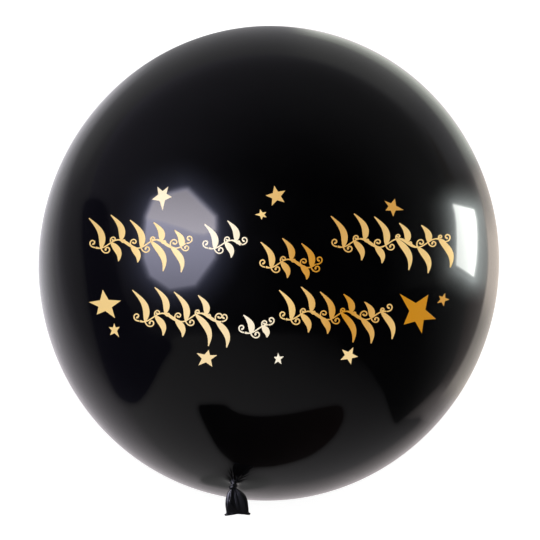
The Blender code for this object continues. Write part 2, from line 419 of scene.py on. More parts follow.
# The knot and the tail, in the part's own sizes
knot = {
    "width": 0.0170,
    "length": 0.0150,
    "roll": 0.0056,
    "sink": 0.0060,
    "twist": math.radians(14),
    # place up the neck, shift to the right, slope up to the right, share of the knot's width
    "bands": (
        (0.0044, 0.0002, math.radians(12), 0.90),
        (0.0004, 0.0004, math.radians(-34), 0.96),
        (-0.0046, -0.0014, math.radians(15), 1.00),
    ),
    "stemInTail": 0.0016,
    "ropeDepth": 0.07,  # spiral wrinkles of the rolled neck, as a share of its radius
    "crossRopes": 0.6,  # strength of the crossing wrinkles and of the slow bulge, beside the spiral ones
    "bulge": 0.5,
    "stemFlutes": 9,
    "fluteDepth": 0.09,
    "fluteTwist": 60,  # radians for each metre along
    "bandGrid": (120, 32),  # points round the neck, and round the roll
    "stemGrid": (24, 108),  # points along, and round
}
tail = {
    "length": 0.049,
    "topRadius": 0.0039,
    "right": (0.0228, 0.0110, 1.5),  # widest, opening length, suddenness of the shoulder
    "left": (0.0212, 0.0125, 1.0),
    "thickness": 0.0150,
    "fullBy": 0.3,
    "flattening": 1.5,
    "narrowing": 0.0014,
    "narrowsFrom": 0.6,
    "droop": math.radians(29),
    "turn": math.radians(17),
    "slant": math.radians(6),
    "wall": 0.0008,
    "lipWidth": 0.0480,
    "lipThickness": 0.0120,
    "lipBead": 0.0038,
    "lipWave": 0.0010,
    "lipFlaresFrom": 0.86,
    # place round the tail at the knot and at the mouth in degrees, bow between, depth, width in degrees,
    # how much wider half way down
    "folds": (
        (108, 92, 10, 0.0100, 12, 2.2),
        (60, 66, -8, 0.0070, 10, 0.6),
        (150, 144, 0, 0.0024, 12, 0.0),
        (20, 22, 0, 0.0020, 12, 0.0),
        (236, 226, 0, 0.0036, 15, 0.3),
        (286, 300, 0, 0.0042, 16, 0.3),
        (330, 336, 0, 0.0020, 14, 0.0),
    ),
    "foldFade": 0.64,
    "foldCrowding": 0.9,
    "foldCrowdingLength": 0.006,
    "foldDeepestShare": 0.47,
    # a slanting crease low on the left: its two ends as share and degrees, height and width
    "crease": ((0.50, 138), (0.92, 92), 0.0034, 6.0),
    "gathers": 27,
    "gatherDepth": 0.00030,
    "gatherReach": 0.016,
    "grid": (90, 288),
    "ringCrowding": 1.2,  # over 1, the rings lie closer together at the knot
    "lipGrid": (360, 30),
    "lipUnevenness": (0.10, 0.05, 0.05),  # slow and quick swelling along the lip, and grooves
}
knotCentre = Vector((0, -(halfLength + skin["coneHeight"] - knot["sink"] + knot["length"] / 2), axisHeight))


def knotFrame():
    lean = Euler((tail["droop"] / 2, knot["twist"], tail["turn"] / 2)).to_matrix().to_4x4()
    return Matrix.Translation(knotCentre) @ lean


def tailFrame():
    lowerEnd = knotFrame() @ Vector((0, (knot["roll"] - knot["length"]) / 2, 0))
    return Matrix.Translation(lowerEnd) @ Euler((tail["droop"], 0, tail["turn"])).to_matrix().to_4x4()


def placed(matrix, points):
    # points in a frame's own axes to the model's
    m = np.array(matrix)
    return points @ m[:3, :3].T + m[:3, 3]


def bandSurface(number):
    # a circle round the neck, carrying a small circle whose radius swells along spirals
    place, shift, slope, share = knot["bands"][number]
    pathRadius = (share * knot["width"] - knot["roll"]) / 2
    t, p = (onceRound(count) for count in knot["bandGrid"])
    t = t[:, None]
    rope = np.cos(2 * p + 3 * t + number) + knot["crossRopes"] * np.cos(5 * p - 7 * t)
    rope = rope + knot["bulge"] * np.cos(2 * t + number)
    small = knot["roll"] / 2 * (1 + knot["ropeDepth"] * rope)
    out = pathRadius + small * np.cos(p)
    points = np.stack(np.broadcast_arrays(out * np.cos(t), small * np.sin(p), out * np.sin(t)), -1)
    band = Matrix.Translation((shift, place, 0)) @ Matrix.Rotation(slope, 4, "Z")
    return wrappedGrid(placed(knotFrame() @ band, points))


def stemSurface():
    # a cylinder down the neck's line whose radius ripples round it
    top = (knot["length"] + knot["roll"]) / 2
    bottom = (knot["roll"] - knot["length"]) / 2 - knot["stemInTail"]
    y = np.linspace(top, bottom, knot["stemGrid"][0])[:, None]
    t = onceRound(knot["stemGrid"][1])
    flutes = np.cos(knot["stemFlutes"] * t + knot["fluteTwist"] * y)
    out = skin["stemRadius"] * (1 + knot["fluteDepth"] * flutes)
    points = np.stack(np.broadcast_arrays(out * np.cos(t), y, out * np.sin(t)), -1)
    ends = np.array([[0, top, 0], [0, bottom, 0]])
    return cappedGrid(placed(knotFrame(), points), *placed(knotFrame(), ends))


def makeKnot():
    parts = [bandSurface(number) for number in range(len(knot["bands"]))]
    piece = meshFrom("balloon_knot", *joined(parts + [stemSurface()]), slack, "black_latex")
    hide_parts("balloon")


def sideWidth(side, share):
    # opens as 1 - exp(-(distance / length)^suddenness), narrows a little, then flares to the lip
    t = tail
    widest, opening, suddenness = side
    opened = 1 - np.exp(-((share * t["length"] / opening) ** suddenness))
    width = t["topRadius"] + (widest - t["topRadius"]) * opened
    width = width - t["narrowing"] * np.maximum(0, share - t["narrowsFrom"]) / (1 - t["narrowsFrom"])
    flared = np.maximum(0, share - t["lipFlaresFrom"]) / (1 - t["lipFlaresFrom"])
    return width + ((t["lipWidth"] - t["lipBead"]) / 2 - width) * flared**2


def tailThickness(share):
    # round at the knot, fullest just below it, flat at the mouth
    t = tail
    filled = np.minimum(1, share / t["fullBy"])
    flattened = np.maximum(0, share - t["fullBy"]) / (1 - t["fullBy"])
    thickness = 2 * t["topRadius"] + (t["thickness"] - 2 * t["topRadius"]) * filled
    return thickness + (t["lipThickness"] - t["lipBead"] - thickness) * flattened ** t["flattening"]


def tailSurface(share, degrees):
    # a flat outline with round edges, pushed in along the folds by bell curves; x, along the tail, z
    t = tail
    rightHalf = (degrees < 90) | (degrees > 270)
    width = np.where(rightHalf, sideWidth(t["right"], share), sideWidth(t["left"], share))
    thickness = tailThickness(share)
    edge = thickness / 2
    straight = np.maximum(0, width - edge)
    arc = math.pi / 2 * edge
    inQuarter = (degrees % 90) / 90
    inQuarter = np.where(np.floor(degrees / 90) % 2 == 0, inQuarter, 1 - inQuarter)
    distance = inQuarter * (arc + straight)
    bend = np.minimum(distance, arc) / edge
    x = np.where(rightHalf, 1, -1) * (straight + edge * np.cos(bend) - np.maximum(0, distance - arc))
    z = np.where(degrees < 180, 1, -1) * edge * np.sin(bend)
    down = share * t["length"]
    nearKnot = np.exp(-down / t["foldCrowdingLength"])
    deepest = t["foldDeepestShare"] * np.minimum(2 * width, thickness)
    fading = np.exp(-((share / t["foldFade"]) ** 2)) * np.sqrt(1 - nearKnot)
    push = 0
    halfWay = np.sin(math.pi * share)
    for atKnot, atMouth, bow, depth, spread, belly in t["folds"]:
        away = (degrees - atKnot - (atMouth - atKnot) * share - bow * halfWay + 180) % 360 - 180
        crowded = spread * (1 + t["foldCrowding"] * nearKnot + belly * halfWay)
        push = push + np.minimum(depth, deepest) * np.exp(-((away / crowded) ** 2)) * fading
    (fromShare, fromDegrees), (toShare, toDegrees), height, spread = t["crease"]
    slope = (toDegrees - fromDegrees) / (toShare - fromShare)
    away = (degrees - fromDegrees - slope * (share - fromShare)) / spread
    creaseMiddle, creaseHalf = (fromShare + toShare) / 2, (toShare - fromShare) / 2
    window = np.exp(-(((share - creaseMiddle) / creaseHalf) ** 4))
    push = push - height * window * np.exp(-(away**2))
    gathers = np.cos(np.radians(t["gathers"] * degrees)) * np.exp(-down / t["gatherReach"]) * (1 - nearKnot)
    push = push + t["gatherDepth"] * gathers
    length = np.maximum(np.hypot(x, z), 1e-9)
    x, z = x * (1 - push / length), z * (1 - push / length)
    y = -down - t["lipWave"] * np.cos(2 * np.radians(degrees)) * share - math.tan(t["slant"]) * x * share
    return np.stack(np.broadcast_arrays(x, y, z), -1)


def makeTail():
    # the outer skin from the knot to the mouth, then the inner skin back up, a wall's thickness inside it
    share = np.linspace(0, 1, tail["grid"][0])[:, None] ** tail["ringCrowding"]
    degrees = np.linspace(0, 360, tail["grid"][1], endpoint=False)
    outer = tailSurface(share, degrees)
    inwards = -unit(outer * np.array([1.0, 0.0, 1.0]))
    inner = outer + inwards * tail["wall"]
    rings = np.concatenate([outer, inner[::-1]])
    ends = np.array([outer[0].mean(0), inner[0].mean(0) - np.array([0.0, tail["wall"], 0.0])])
    faces = cappedGrid(placed(tailFrame(), rings), *placed(tailFrame(), ends))
    piece = meshFrom("balloon_tail", *faces, slack, "black_latex")
    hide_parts("balloon")


def makeLip():
    # a small circle carried round the mouth's edge, grooved along its length like rolled rubber
    degrees = np.linspace(0, 360, tail["lipGrid"][0], endpoint=False)
    path = tailSurface(np.array([1.0]), degrees)
    ahead = unit(np.roll(path, -1, axis=0) - np.roll(path, 1, axis=0))
    alongTail = np.array([0.0, 1.0, 0.0])
    outwards = unit(np.cross(ahead, alongTail))
    across = np.cross(outwards, ahead)
    t = np.radians(degrees)[:, None]
    p = onceRound(tail["lipGrid"][1])
    slow, quick, grooves = tail["lipUnevenness"]
    uneven = 1 + slow * np.sin(3 * t + 1) + quick * np.sin(7 * t) + grooves * np.cos(4 * p + 2 * t)
    small = (tail["lipBead"] / 2 * uneven)[..., None]
    bead = np.cos(p)[..., None] * outwards[:, None, :] + np.sin(p)[..., None] * across[:, None, :]
    rings = path[:, None, :] + small * bead
    piece = meshFrom("balloon_lip", *wrappedGrid(placed(tailFrame(), rings)), slack, "black_latex")
    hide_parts("balloon")


makeKnot()
makeTail()
makeLip()
print("knot, tail and lip made")

# The print: flat films of ink on the skin. Places are pixels of the photograph.
film = {
    "height": 0.00016,
    "sunk": 0.00030,
    "edge": 0.85,  # height at the edge, as a share of the whole
    "flatWidth": 0.94,  # share of a ribbon's width that is flat on top
    "stemHeight": 0.8,  # as a share of the whole, so that crossing ribbons don't lie level
    "tendrilHeight": 0.9,
}
# the five points of each star, and its painted light tone: 0 is cream, the most painted highlight, 1 the
# ink's own deep gold
stars = (
    (((284.5, 202.3), (271.7, 205.8), (265.6, 195.4), (274.2, 185.6), (285.3, 190.5)), 0.62),
    (((171.9, 197.0), (162.6, 210.6), (151.8, 199.6), (157.4, 186.6), (168.3, 186.6)), 0.15),
    (((403.7, 210.0), (393.2, 216.6), (385.5, 210.4), (384.5, 200.8), (394.9, 198.7)), 0.85),
    (((266.7, 217.4), (261.5, 219.7), (254.8, 214.6), (260.1, 209.2), (266.3, 212.0)), 0.42),
    (((115.0, 318.1), (96.8, 314.6), (89.0, 302.1), (102.8, 289.7), (120.9, 300.6)), 0.42),
    (((443.8, 306.2), (437.1, 303.1), (439.1, 295.7), (445.0, 293.1), (449.4, 299.4)), 0.88),
    (((435.8, 318.9), (421.8, 333.3), (403.8, 324.5), (399.7, 293.7), (428.2, 294.8)), 1.00),
    (((119.2, 337.2), (110.0, 335.2), (108.8, 327.1), (114.3, 323.2), (119.6, 326.9)), 0.40),
    (((358.0, 356.7), (351.0, 364.4), (340.5, 359.9), (342.1, 349.5), (353.2, 347.4)), 0.36),
    (((212.3, 366.8), (198.4, 365.4), (196.6, 353.0), (208.7, 349.8), (217.2, 355.2)), 0.30),
    (((281.4, 364.2), (274.5, 363.7), (273.9, 356.9), (278.0, 352.8), (283.7, 356.4)), 0.02),
)
starNotch = 0.53  # how far out the inner corners are, as a share of the way to the line between two points
starRings = (0.2, 0.4, 0.6, 0.8, 0.97, 1.0)  # shares of the outline on top, from the middle out
starRingsBelow = (1.0, 0.6, 0.2)
stepsOnEdge = 10


def onSkin(pixels, heights):
    # pixels to places on the skin, lifted along the normal
    place, normal, _ = skinAtPixel(pixels)
    return place + normal * heights[..., None]


def starSurface(points):
    # straight edges between points and notches, in rings from the middle out on top and back in underneath
    points = np.array(points)
    centre = points.mean(0)
    notches = centre + ((points + np.roll(points, -1, axis=0)) / 2 - centre) * starNotch
    corners = np.stack([points, notches], 1).reshape(-1, 2)
    outline = straightLoop(corners, stepsOnEdge)
    shares = np.array(starRings + starRingsBelow)[:, None, None]
    top, sunk = film["height"], -film["sunk"]
    flat = [top] * (len(starRings) - 1)
    heights = np.array(flat + [top * film["edge"]] + [sunk] * len(starRingsBelow))[:, None]
    pixels = centre + (outline - centre) * shares
    rings = onSkin(pixels, np.broadcast_to(heights, pixels.shape[:2]))
    ends = onSkin(np.array([centre, centre]), np.array([top, sunk]))
    return cappedGrid(rings, *ends)


def makeStars():
    parts = [starSurface(points) for points, _ in stars]
    piece = meshFrom("gold_stars", *joined(parts), gold, "gold_print")
    # painted highlight: all of a star's vertices take its painted light tone
    paintedLightTones = [np.full(len(part[0]), paintedLightTone) for part, (_, paintedLightTone) in zip(parts, stars)]
    giveValues(piece, "paintedLightTone", np.concatenate(paintedLightTones))


makeStars()
print("stars printed")

# Two rows of leaf scrolls: a waving stem that swells as it falls, slanting tapered leaves, curled tendrils
scroll = {
    "pitch": 10.4,  # pixels from leaf to leaf
    "hairline": 1.3,
    "swell": 2.6,  # the stem's extra width where it falls
    "leafWidth": 5.6,
    "leafStem": 0.7,  # width at a leaf's two ends, in hairlines
    "leafBelly": 0.68,  # under 1, a leaf is widest nearer the stem
    "leafTaper": 1.05,
    "slant": 0.40,  # a leaf's run to the side for each pixel of its height
    "bow": 0.20,
    "leafShares": (1.0, 0.62, 0.84, 0.55, 0.92),  # of the group's half height, in turn
    "stemWave": 4.2,
    "stemWaveLength": 38.0,
    "tendril": 27.0,
    "inset": 5.94,  # of the stem's ends from the group's edges
    "tendrilTurn": math.radians(400),
    "tendrilTightening": 1.35,  # over 1, it turns ever faster
    "tendrilShortening": 0.62,  # share by which its last step is shorter than its first
    "tendrilHeadings": (math.radians(-70), math.radians(110)),  # beside leaves that go up, and down
    # shares of its length: the mean, a cosine's height, and the angle by which that turns at each leaf
    "tendrilLengths": (0.8, 0.3, 1.7),
    "bud": 3.0,
    "budShare": 0.2,  # of a tendril's length
    "tip": (0.28, 14),  # a tendril's last width as a share, and how soon it widens from there
    "leafSteps": 36,
    "tendrilSteps": 56,
}
# left, right, top and bottom edge in pixels, painted light tone (painted highlight on the gold) at the left,
# in the middle and at the right
scrolls = (
    (90, 192, 214, 274, (0.50, 0.43, 0.32)),
    (203, 247, 220, 269, (0.04, 0.07, 0.12)),
    (260, 322, 238, 289, (0.46, 0.88, 1.00)),
    (332, 450, 212, 274, (0.78, 0.46, 0.50)),
    (134, 227, 286, 349, (0.40, 0.36, 0.28)),
    (239, 274, 311, 347, (0.02, 0.10, 0.15)),
    (280, 392, 286, 345, (0.44, 0.98, 0.50)),
)


def ribbonSurface(path, width, top):
    # a film of the given width carried along a path of pixels: flat on top, its sides sunk in the skin
    ahead = unit(np.gradient(path, axis=0))
    side = np.stack([-ahead[:, 1], ahead[:, 0]], -1)
    flat = film["flatWidth"]
    across = np.array([-1.0, -flat, 0.0, flat, 1.0, 1.0, -1.0])
    sunk = -film["sunk"]
    heights = np.array([top * film["edge"], top, top, top, top * film["edge"], sunk, sunk])
    pixels = path[:, None, :] + (width[:, None] / 2 * across)[..., None] * side[:, None, :]
    rings = onSkin(pixels, np.broadcast_to(heights, pixels.shape[:2]))
    ends = onSkin(path[[0, -1]], np.array([top / 2, top / 2]))
    return cappedGrid(rings, *ends)


def stemHeight(x, group):
    # the stem's pixel row: the group's middle height and a sine
    wave = scroll["stemWave"] * np.sin((x - group[0]) / scroll["stemWaveLength"] * 2 * math.pi)
    return (group[2] + group[3]) / 2 + wave


def stemPath(left, right, group):
    # a line whose width grows with its fall
    x = np.linspace(left, right, int(right - left))
    y = stemHeight(x, group)
    falling = np.maximum(0, np.gradient(y, x))
    return np.stack([x, y], -1), scroll["hairline"] + scroll["swell"] * falling


def leafPath(x, group, rise):
    # from the stem to a tip that leans with the slant, bowed to one side by half a sine
    s = scroll
    t = np.linspace(0, 1, s["leafSteps"])
    px = x - s["slant"] * rise * t + s["bow"] * abs(rise) * np.sin(math.pi * t)
    py = stemHeight(x, group) - rise * t
    belly = np.sin(math.pi * t ** s["leafBelly"]) ** s["leafTaper"]
    return np.stack([px, py], -1), s["hairline"] * s["leafStem"] + s["leafWidth"] * belly


def tendrilPath(x, group, heading, way, length):
    # a hairline whose heading turns ever faster, so that it winds in on itself and ends in a rounded bud
    s = scroll
    t = np.linspace(0, 1, s["tendrilSteps"])
    angle = heading + way * s["tendrilTurn"] * t ** s["tendrilTightening"]
    step = length / len(t) * (1 - s["tendrilShortening"] * t)
    px = x + np.cumsum(step * np.cos(angle))
    py = stemHeight(x, group) - np.cumsum(step * np.sin(angle))
    inBud = np.maximum(0, 1 - (1 - t) / s["budShare"])
    width = s["hairline"] + (s["bud"] - s["hairline"]) * inBud
    tip, widening = s["tip"]
    return np.stack([px, py], -1), width * np.minimum(1, tip + (1 - t) * widening)


def scrollSurfaces(group):
    # the stem, a tendril at each of its ends, and a leaf and a tendril at each step, up and down in turn
    s = scroll
    left, right = group[0] + s["inset"], group[1] - s["inset"]
    top, low = film["height"], film["height"] * film["tendrilHeight"]
    films = [ribbonSurface(*stemPath(left, right, group), top * film["stemHeight"])]
    for end, heading, way in ((left, math.pi, -1), (right, 0.0, 1)):
        films.append(ribbonSurface(*tendrilPath(end, group, heading, way, s["tendril"]), low))
    count = int(round((right - left) / s["pitch"]))
    half = (group[3] - group[2]) / 2
    mean, change, turn = s["tendrilLengths"]
    for k in range(count):
        x = left + (k + 0.5) / count * (right - left)
        down = k % 2
        up = 1 - 2 * down
        rise = half * s["leafShares"][k % len(s["leafShares"])] * up
        films.append(ribbonSurface(*leafPath(x, group, rise), top))
        length = s["tendril"] * (mean + change * math.cos(turn * k))
        films.append(ribbonSurface(*tendrilPath(x, group, s["tendrilHeadings"][down], up, length), low))
    return films


def makeScrolls():
    surfaces, paintedLightTones = [], []
    for group in scrolls:
        for surface in scrollSurfaces(group):
            surfaces.append(surface)
            # painted highlight: each vertex's painted light tone follows its place across the group, from
            # the left value through the middle one to the right one
            across = surface[0][:, 0] * camRight[0] + surface[0][:, 1] * camRight[1]
            x = across * focalPixels / view["distance"] + view["middlePixel"][0]
            share = np.clip((x - group[0]) / (group[1] - group[0]), 0, 1)
            paintedLightTones.append(np.interp(share, (0.0, 0.5, 1.0), group[4]))
    piece = meshFrom("gold_scrolls", *joined(surfaces), gold, "gold_print")
    giveValues(piece, "paintedLightTone", np.concatenate(paintedLightTones))


makeScrolls()
print("scrolls printed")

# The studio: a pale floor and backdrop, and round them what the skin mirrors. Each pane of light or dark
# is given by its mirror image on the skin, in pixels of the photograph, and set where that image asks.
studio = {
    "floorColour": "#D8D8D8",
    "floorGlow": 0.70,
    "floorRadius": 9.0,
    "floorHeights": (-0.0004, -0.0006),  # of the seen one and the mirrored one
    "mirrorCentre": (-0.05, 0.50),  # under the middle of the view
    # metres from there, and how bright the mirrored floor is
    "floorLevels": ((0.0, 1.0), (0.5, 1.0), (0.65, 0.90), (0.8, 0.70), (0.95, 0.54), (1.1, 0.42),
                    (1.3, 0.30), (1.55, 0.17), (1.8, 0.125), (2.4, 0.11), (3.5, 0.115), (6.0, 0.13)),
    "floorLean": (1.3, 0.7),  # shares of that at the left and at the right
    "floorTints": ("#F5F2FF", "#FFF2EA"),
    "leanReach": 1.5,  # metres to the left and to the right
    # angle from the camera's own direction, and how bright the room is there
    "roomLevels": ((0, 0.008), (35, 0.015), (47, 0.024), (60, 0.046), (72, 0.076), (82, 0.100),
                   (92, 0.112), (104, 0.116), (110, 0.130), (115, 0.165), (120, 0.205), (126, 0.235),
                   (134, 0.26)),
    "roomLean": 0.044,  # brighter to the left, darker to the right
    "roomTints": ("#E6E0FF", "#FFFFFF"),
    "roomDarkest": 0.005,
    "ambient": 0.75,  # for matt surfaces
    "fillPower": 30.0,
    "fillSize": 2.6,
    "fillDistance": 3.4,
}
softBoxOutline = ((186.5, 191), (213.7, 217.6), (213.7, 257), (194.4, 284), (170, 288), (151, 275),
                  (145, 258), (146, 234), (148, 217), (155, 201), (173, 194.5))
aboveFloor = 0.006  # metres, divided by a pane's reach, so that nearer panes lie over farther ones
paneSteps = 6  # between two corners
paneRings = 9  # past a pane's edge, over this many times its fade and closer together near the edge
paneReach = 3.2
paneCrowding = 1.5
# outline of the mirror image, whether its corners are rounded off (most are), metres from the skin, colour
# (white if not given), light at its two ends, direction from one to the other (0 right, 90 up if not given),
# pixels over which its edge fades, and how late the light changes where that isn't even
panes = {
    "softBoxTop": {
        "outline": ((186.5, 191), (213.7, 217.6), (214, 229), (204, 233), (194, 232), (184, 227.5),
                    (160, 220), (148, 218), (155, 201), (173, 194.5)),
        "round": False, "reach": 1.58, "colour": "#F7F1FF", "light": (6.3, 10.0), "towards": 270,
        "fade": 1.8,
    },
    "softBox": {
        "outline": softBoxOutline, "round": False, "reach": 1.60, "colour": "#E2E1FF",
        "light": (4.8, 10.4), "fade": 2.4,
    },
    "softBoxHalo": {
        "outline": softBoxOutline, "reach": 1.65, "colour": "#C6CEFF", "light": (1.2, 1.2), "fade": 10.0,
    },
    "window": {
        "outline": ((453.4, 204.6), (455.6, 213), (456.9, 224), (457.4, 240), (457.2, 255),
                    (456.8, 264.8), (465, 270), (473.4, 276), (475.5, 262), (476.3, 249), (476.4, 235),
                    (475.4, 220), (473.3, 210.3), (463, 207.2)),
        "round": False, "reach": 0.61, "colour": "#FBFFFA", "light": (10.2, 11.2), "fade": 1.0,
    },
    "windowHalo": {
        "outline": ((452, 203), (454, 224), (455, 248), (454, 268), (464, 276), (474, 280), (477, 258),
                    (477, 232), (473, 209)),
        "reach": 0.67, "colour": "#E8F2F0", "light": (3.0, 2.4), "fade": 7.5,
    },
    "cameraStand": {
        "outline": ((199.5, 409), (206.5, 405.5), (224, 406), (235, 413), (257, 417), (288, 415),
                    (322, 408.5), (340, 407), (342, 420), (331, 438.5), (309.5, 455), (279, 464.5),
                    (257, 465), (235, 459.5), (221.5, 451), (210, 433)),
        "reach": 0.50, "colour": "#FFC8B8", "light": (0.0, 0.03), "towards": 0, "fade": 2.2,
    },
    "darkFlatRight": {
        "outline": ((341, 338), (366, 363), (384, 391), (392, 414), (395, 421), (400, 420), (422, 401),
                    (443, 379), (455, 358), (461, 334), (465, 307), (464, 290), (440, 285), (380, 300)),
        "reach": 0.70, "light": (0.006, 0.11), "towards": 350, "fade": 2.2, "bend": 5.0,
    },
    "darkFlatLeft": {
        "outline": ((126, 400), (116, 391), (105, 366), (96, 334), (90, 304), (86, 270), (83, 235),
                    (86, 203), (104, 206), (112, 250), (124, 300), (146, 330), (170, 344), (160, 365),
                    (148, 388), (137, 401)),
        "reach": 0.70, "colour": "#CCC6FF", "light": (0.055, 0.06), "fade": 3.0,
    },
    "frontFloor": {
        "outline": ((134, 406), (148, 388), (170, 345), (191, 337), (257, 335.5), (322, 336.5),
                    (341, 339), (366, 364), (384, 391), (393, 422), (420, 420), (379, 452), (326, 476),
                    (268, 484), (205, 478), (158, 446)),
        "reach": 1.50, "colour": "#FFFCFF", "light": (0.25, 0.015), "towards": 62, "fade": 5.0, "bend": 2.2,
    },
    # painted shade: the two knot shades are dim sheets hung 16 mm off the skin beside the knot, seen only in
    # its mirror
    "knotShadeLeft": {
        "outline": ((202, 479), (214, 475), (222, 474), (227, 476), (230, 481), (229, 487), (216, 485),
                    (206, 483)),
        "reach": 0.016, "light": (0.17, 0.17), "fade": 2.4,
    },
    "knotShadeRight": {
        "outline": ((241, 481), (245, 477.5), (252, 476), (261, 477), (271, 481), (264, 486), (254, 488),
                    (243, 489), (240, 486)),
        "reach": 0.016, "light": (0.15, 0.22), "towards": 0, "fade": 2.4,
    },
}
rimMiddle = (268.5, 262.8)
rimRadii = (231.2, 237.0)
rimReach = 0.9995  # share of the radius where the bands end, just inside the outline
rimGrid = (60, 26)
rimCrowding = 1.6  # over 1, the columns lie closer together near the outline
# bands along the skin's outline: directions in degrees (0 right, 90 top), share of the radius where they
# start at each end of those, the share over which that edge fades, degrees over which the ends fade, metres
# from the skin, light at the inside and at the outline, and how late it changes where that isn't even
rims = {
    "backFloor": {
        "angles": (16, 162), "inside": (0.862, 0.868), "insideFade": 0.030, "endFade": 14, "reach": 0.95,
        "colour": "#FBFAFF", "light": (0.20, 0.29), "bend": 2.0,
    },
    "backGlow": {
        "angles": (40, 90), "inside": (0.858, 0.866), "insideFade": 0.030, "endFade": 16, "reach": 0.90,
        "light": (0.26, 0.36), "bend": 2.0,
    },
    "backRim": {
        "angles": (20, 86), "inside": (0.944, 0.966), "insideFade": 0.012, "endFade": 10, "reach": 0.80,
        "colour": "#FBFFF6", "light": (0.38, 0.92),
    },
    "leftWall": {
        "angles": (114, 208), "inside": (0.956, 0.902), "insideFade": 0.014, "endFade": 26, "reach": 0.80,
        "colour": "#FAF8FF", "light": (0.27, 0.96),
    },
    "rightStrip": {
        "angles": (-37, -4), "inside": (0.885, 0.828), "insideFade": 0.045, "endFade": 5, "reach": 0.70,
        "colour": "#FFF2EE", "light": (0.09, 0.36),
    },
    "rightWall": {
        "angles": (-40, 28), "inside": (0.928, 0.956), "insideFade": 0.010, "endFade": 9, "reach": 0.64,
        "colour": "#FFF5EB", "light": (0.78, 0.73),
    },
    "rightWallLit": {
        "angles": (-17, 17), "inside": (0.938, 0.951), "insideFade": 0.010, "endFade": 13, "reach": 0.60,
        "colour": "#FFF1E4", "light": (1.75, 0.80),
    },
}


def stageMesh(name, vertices, faces, material, camera=False, matt=False, glossy=False):
    # a mesh of the stage that only the camera, matt surfaces or mirroring ones see
    thing = meshObject(name, vertices, faces, material)
    thing.visible_camera = camera
    thing.visible_diffuse = matt
    thing.visible_glossy = glossy
    thing.visible_shadow = matt
    thing.visible_transmission = False  # these two keep the backdrop out of the sampled lights
    thing.visible_volume_scatter = False
    return thing


def paneMaterial(name, colour, strength):
    # light from low to high by one attribute, and clear where the other says that the edge has faded
    material, tree = newMaterial(name)
    level = addNode(tree, "Attribute", attribute_name="level").outputs["Fac"]
    cover = addNode(tree, "Attribute", attribute_name="cover").outputs["Fac"]
    spread = {"Value": level, "To Min": strength[0], "To Max": strength[1]}
    light = addNode(tree, "MapRange", spread).outputs["Result"]
    glow = addNode(tree, "Emission", {"Color": fromHex(colour), "Strength": light})
    clear = addNode(tree, "BsdfTransparent")
    ends = {0: cover, 1: clear.outputs["BSDF"], 2: glow.outputs["Emission"]}
    both = addNode(tree, "MixShader", ends)
    addNode(tree, "OutputMaterial", {"Surface": both.outputs["Shader"]})
    return material


def mirroredPlaces(pixels, reach):
    # each pixel sent along its mirrored ray from the skin, ray - 2 (ray . normal) normal, at most to just
    # above the floor
    place, normal, ray = skinAtPixel(pixels)
    mirror = ray - 2 * (ray * normal).sum(-1, keepdims=True) * normal
    fall = -np.minimum(mirror[:, 2], -1e-6)
    toFloor = np.where(mirror[:, 2] < 0, (place[:, 2] - aboveFloor / reach) / fall, reach)
    return place + mirror * np.minimum(reach, toFloor)[:, None]


def placePane(name, pane, pixels, faces, level, cover):
    vertices = mirroredPlaces(pixels, pane["reach"])
    material = paneMaterial(name, pane.get("colour", "#FFFFFF"), pane["light"])
    thing = stageMesh(name, vertices, faces, material, glossy=True)
    giveValues(thing, "level", level ** pane.get("bend", 1.0))
    giveValues(thing, "cover", cover)


def makePane(name, pane):
    # rings of the outline shrunk to its middle, then pushed out past its edge while the cover falls away
    corners = np.array(pane["outline"], float)
    makeLoop = smoothLoop if pane.get("round", True) else straightLoop
    edge = makeLoop(corners, paneSteps)
    centre = edge.mean(0)
    run = np.roll(edge, -1, axis=0) - np.roll(edge, 1, axis=0)
    outwards = unit(np.stack([run[:, 1], -run[:, 0]], -1))
    if (outwards * (edge - centre)).sum() < 0:
        outwards = -outwards
    past = np.linspace(0, 1, paneRings) ** paneCrowding * paneReach
    shares = (0.25, 0.5, 0.75)
    rings = [centre + (edge - centre) * share for share in shares]
    rings += [edge + outwards * step * pane["fade"] for step in past]
    least = math.exp(-paneReach)
    falling = (np.exp(-past) - least) / (1 - least)
    columns = len(edge)
    cover = np.append(np.repeat(np.append([1.0] * len(shares), falling), columns), 1.0)
    pixels = np.concatenate(rings + [[centre]])
    faces = gridQuads(len(rings), columns, False).tolist()
    faces += fanFaces(0, columns, len(pixels) - 1).tolist()
    angle = math.radians(pane.get("towards", 90))
    towards = np.array([math.cos(angle), -math.sin(angle)])
    ends = corners @ towards
    level = np.clip((pixels @ towards - ends.min()) / (ends.max() - ends.min()), 0, 1)
    placePane(name, pane, pixels, faces, level, cover)


def makeRim(name, rim):
    # a grid of directions by shares of the outline's radius, closer together near the outline
    rows, columns = rimGrid
    angles = np.radians(np.linspace(*rim["angles"], rows))[:, None]
    inside = np.linspace(*rim["inside"], rows)[:, None]
    out = 1 - (1 - np.linspace(0, 1, columns)[None, :]) ** rimCrowding
    share = inside + (rimReach - inside) * out
    x = rimMiddle[0] + rimRadii[0] * share * np.cos(angles)
    y = rimMiddle[1] - rimRadii[1] * share * np.sin(angles)
    fromEnd = np.degrees(np.minimum(angles - angles.min(), angles.max() - angles))
    ends = np.clip(fromEnd / rim["endFade"], 0, 1)
    edge = np.clip((share - inside) / rim["insideFade"], 0, 1)
    cover = edge * edge * (3 - 2 * edge) * ends * ends * (3 - 2 * ends)
    first = np.arange(rows - 1)[:, None] * columns + np.arange(columns - 1)[None, :]
    quads = [first, first + 1, first + columns + 1, first + columns]
    faces = np.stack(quads, -1).reshape(-1, 4).tolist()
    pixels = np.stack([x, y], -1).reshape(-1, 2)
    level = np.broadcast_to(out, cover.shape)
    placePane(name, rim, pixels, faces, level.ravel(), cover.ravel())


